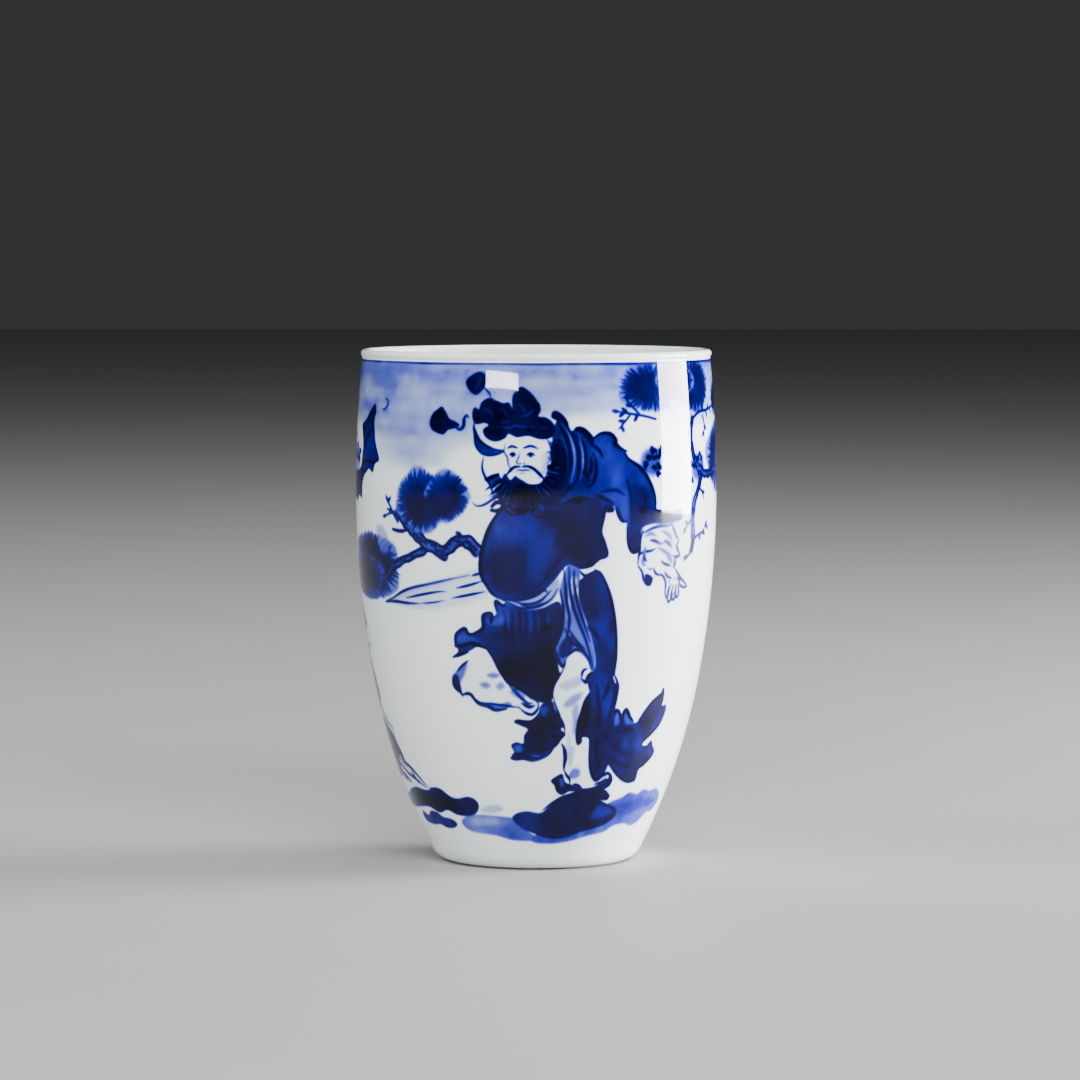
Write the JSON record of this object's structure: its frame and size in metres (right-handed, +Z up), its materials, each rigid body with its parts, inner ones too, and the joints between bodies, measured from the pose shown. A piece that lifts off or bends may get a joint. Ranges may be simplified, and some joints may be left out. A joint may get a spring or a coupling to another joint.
{
  "type": "teacup",
  "caption": "Tall handleless porcelain teacup with a rolled lip, small foot ring and blue underglaze painting of a robed figure, pines and bats.",
  "frame": {"origin": "centre of the foot ring's resting face", "axes": "+Z up along the cup's axis; -Y is the side with the main painted figure; +X is to that side's right"},
  "size_m": [0.0579, 0.0579, 0.082],
  "materials": {
    "white_porcelain": "fired white body, bare and matt on the foot ring",
    "clear_glaze": "clear high-gloss glaze over white porcelain",
    "cobalt_blue": "glaze stained by brushed cobalt, in washes and lines",
    "pale_cobalt": "glaze stained by a thin mottled cobalt wash"
  },
  "bodies": {
    "root": {"porcelain_body": "white_porcelain", "inner_glaze": "clear_glaze", "foot_glaze": "clear_glaze", "lip_glaze": "clear_glaze", "wall_glaze": "clear_glaze", "rim_line": "cobalt_blue", "sky_wash": "pale_cobalt", "main_figure": "cobalt_blue", "sword_blade": "cobalt_blue", "left_pine": "cobalt_blue", "right_pine": "cobalt_blue", "pine_trunk": "cobalt_blue", "great_bat": "cobalt_blue", "small_bat": "cobalt_blue", "attendant": "cobalt_blue", "front_ground": "cobalt_blue", "left_ground": "cobalt_blue", "back_ground": "cobalt_blue", "trunk_ground": "cobalt_blue"}
  },
  "joints": []
}
